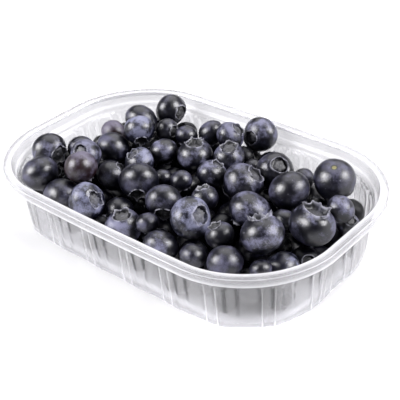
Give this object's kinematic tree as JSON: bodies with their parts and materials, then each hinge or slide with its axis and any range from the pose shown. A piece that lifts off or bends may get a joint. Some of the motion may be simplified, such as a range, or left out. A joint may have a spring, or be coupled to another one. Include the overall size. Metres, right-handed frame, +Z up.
{
  "type": "punnet of blueberries",
  "caption": "Shallow clear plastic tray with rounded ends, a flat rim and fluted sides, heaped with dark blue berries of uneven size. No lid.",
  "frame": {"origin": "middle of the foot ring, on the surface that the tray stands on", "axes": "+X along the tray's long side, +Y along its short side, +Z up"},
  "size_m": [0.178, 0.1174, 0.0453],
  "materials": {
    "clear_plastic": "thin milky clear polypropylene, glossy",
    "berry_skin": "near-black blue fruit skin with a patchy grey-blue waxy bloom, soft sheen"
  },
  "bodies": {
    "root": {"punnet": "clear_plastic", "blueberries": "berry_skin"}
  },
  "joints": []
}
